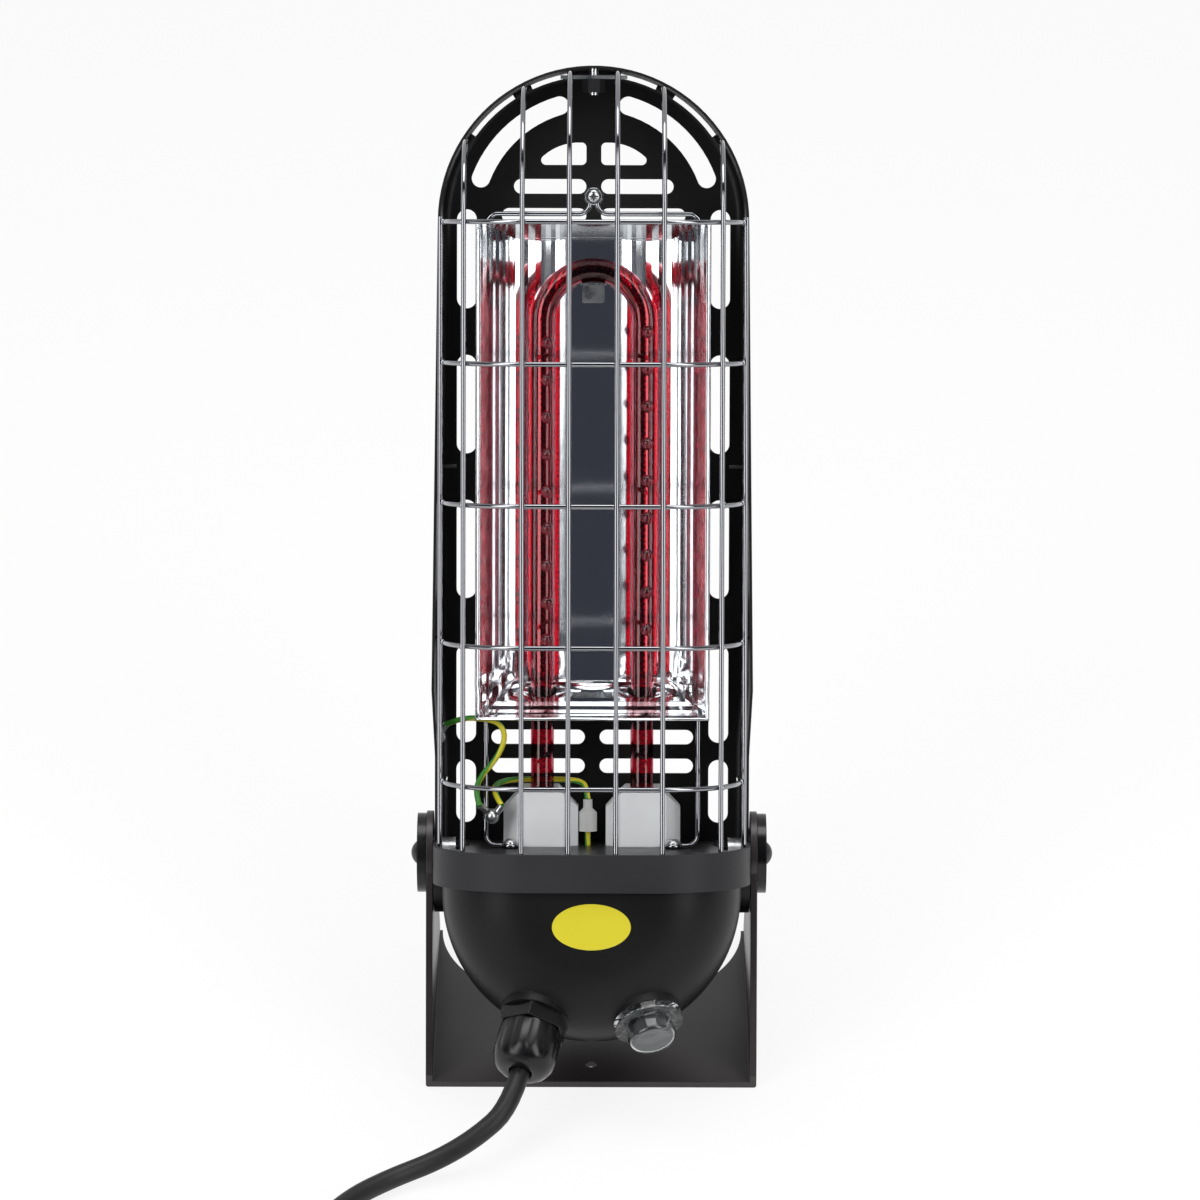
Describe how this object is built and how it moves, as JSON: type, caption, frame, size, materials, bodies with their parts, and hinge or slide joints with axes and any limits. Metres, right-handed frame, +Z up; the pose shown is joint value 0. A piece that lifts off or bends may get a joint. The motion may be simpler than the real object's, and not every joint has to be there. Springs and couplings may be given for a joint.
{
  "type": "infrared heater lamp",
  "caption": "Portable infrared heater: perforated tray head with a wire guard, ruby U lamp and reflector, tilting on a U bracket, with switch, cord and plug.",
  "frame": {"origin": "underside of the bracket plate, directly below the tilt axis", "axes": "+Z up, +X along the tilt axis to the right seen from the front, -Y towards the heated side"},
  "size_m": [0.2335, 0.5388, 0.4249],
  "materials": {
    "black_coat": "satin black powder coat",
    "bowl_coat": "matt black coat",
    "collar_grey": "moulded, matt",
    "chrome_wire": "bright plated wire",
    "bright_aluminium": "bright rolled sheet",
    "ruby_glass": "drawn ruby quartz",
    "filament": "wound wire",
    "white_ceramic": "off-white steatite",
    "zinc_steel": "zinc plated",
    "black_steel": "blackened",
    "black_nylon": "moulded nylon",
    "white_nylon": "moulded nylon",
    "clear_silicone": "clear moulded silicone",
    "earth_sleeve": "green and yellow sleeve",
    "white_sleeve": "heat-proof sleeve",
    "black_rubber": "rubber sheath",
    "brass_pins": "nickel plated",
    "badge_yellow": "plain yellow plate"
  },
  "bodies": {
    "stand": {"bracket": "black_coat", "pivot_discs": "black_nylon", "supply_cord": "black_rubber", "cord_coil": "black_rubber", "cord_tie": "black_nylon", "plug_body": "black_rubber", "plug_pins": "brass_pins"},
    "head": {"friction_washers": "black_nylon", "pivot_bolts": "black_steel", "pivot_bosses": "zinc_steel", "rear_housing": "black_coat", "base_bowl": "bowl_coat", "collar_band": "collar_grey", "base_deck": "black_steel", "deck_screws": "black_steel", "badge": "badge_yellow", "cage_uprights": "chrome_wire", "cage_rings": "chrome_wire", "cage_top_bar": "zinc_steel", "cage_top_nut": "black_steel", "cage_top_screw": "zinc_steel", "lamp_tube": "ruby_glass", "lamp_caps": "white_ceramic", "lamp_filament": "filament", "lamp_clip": "zinc_steel", "socket_left": "white_ceramic", "socket_right": "white_ceramic", "reflector": "bright_aluminium", "reflector_frame": "chrome_wire", "frame_screws": "zinc_steel", "ring_terminals": "zinc_steel", "terminal_screws": "zinc_steel", "earth_wire_long": "earth_sleeve", "earth_wire_short": "earth_sleeve", "wire_cap": "white_nylon", "terminal_block": "white_nylon", "lamp_leads": "white_sleeve", "inner_wires": "white_sleeve", "gland_body": "black_nylon", "gland_locknut": "black_nylon", "gland_nut": "black_nylon", "gland_seal": "black_rubber", "switch_body": "black_nylon", "switch_nut": "black_nylon", "switch_boot": "clear_silicone"},
    "rocker": {"switch_rocker": "black_nylon"}
  },
  "joints": [
    {"name": "head_tilt", "type": "hinge", "parent": "stand", "child": "head", "pos_m": [0, 0, 0.09], "axis": [-1, 0, 0], "range_deg": [-15, 60], "deforming": ["supply_cord"]},
    {"name": "switch_press", "type": "hinge", "parent": "head", "child": "rocker", "pos_m": [0.0252, -0.07449, 0.04648], "axis": [0.8055, 0.4227, -0.4154], "range_deg": [0, 18]}
  ]
}
